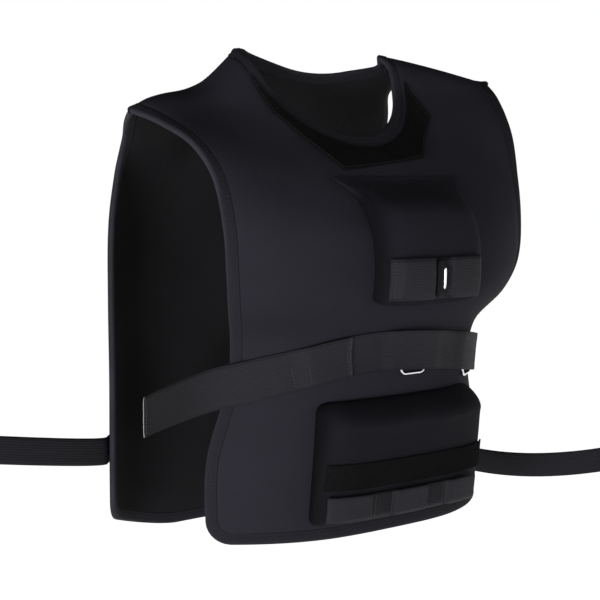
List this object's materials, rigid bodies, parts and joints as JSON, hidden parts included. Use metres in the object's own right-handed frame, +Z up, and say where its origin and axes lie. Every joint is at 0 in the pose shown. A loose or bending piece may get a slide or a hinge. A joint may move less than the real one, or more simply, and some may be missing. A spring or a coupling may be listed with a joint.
{
  "type": "weighted vest",
  "caption": "Padded black tabard vest with a round neck, open sides, chest pad, low weight pouch with webbing loops, a waist belt and long side straps.",
  "frame": {"origin": "midway between the two neck points, on the line of the shoulder seams, where the wearer's shoulders carry the vest", "axes": "+Z up as worn, the wearer faces -Y, +X towards the wearer's left"},
  "size_m": [0.6445, 0.3041, 0.4776],
  "materials": {
    "panel_cloth": "matte black woven nylon, padded",
    "edge_tape": "matte black bound cotton tape with one line of stitching",
    "loop_pile": "very dark loop pile, no sheen",
    "pad_cloth": "matte black knitted cloth over foam",
    "pouch_cloth": "matte black woven nylon, filled",
    "webbing": "black ribbed webbing with a low sheen",
    "slide_plastic": "black moulded plastic, satin",
    "steel": "bright plated steel wire"
  },
  "bodies": {
    "root": {"front_panel": "panel_cloth", "back_panel": "panel_cloth", "front_edge_tape": "edge_tape", "back_edge_tape": "edge_tape", "neck_tape": "edge_tape", "neck_patch": "loop_pile", "chest_pad": "pad_cloth", "chest_webbing": "webbing", "chest_slide": "slide_plastic", "slide_pin": "steel", "weight_pouch": "pouch_cloth", "pouch_pile_strip": "loop_pile", "pouch_webbing": "webbing", "belt_lower": "webbing", "belt_upper": "webbing", "front_ring": "steel", "side_ring": "steel", "back_strap": "webbing"}
  },
  "joints": []
}
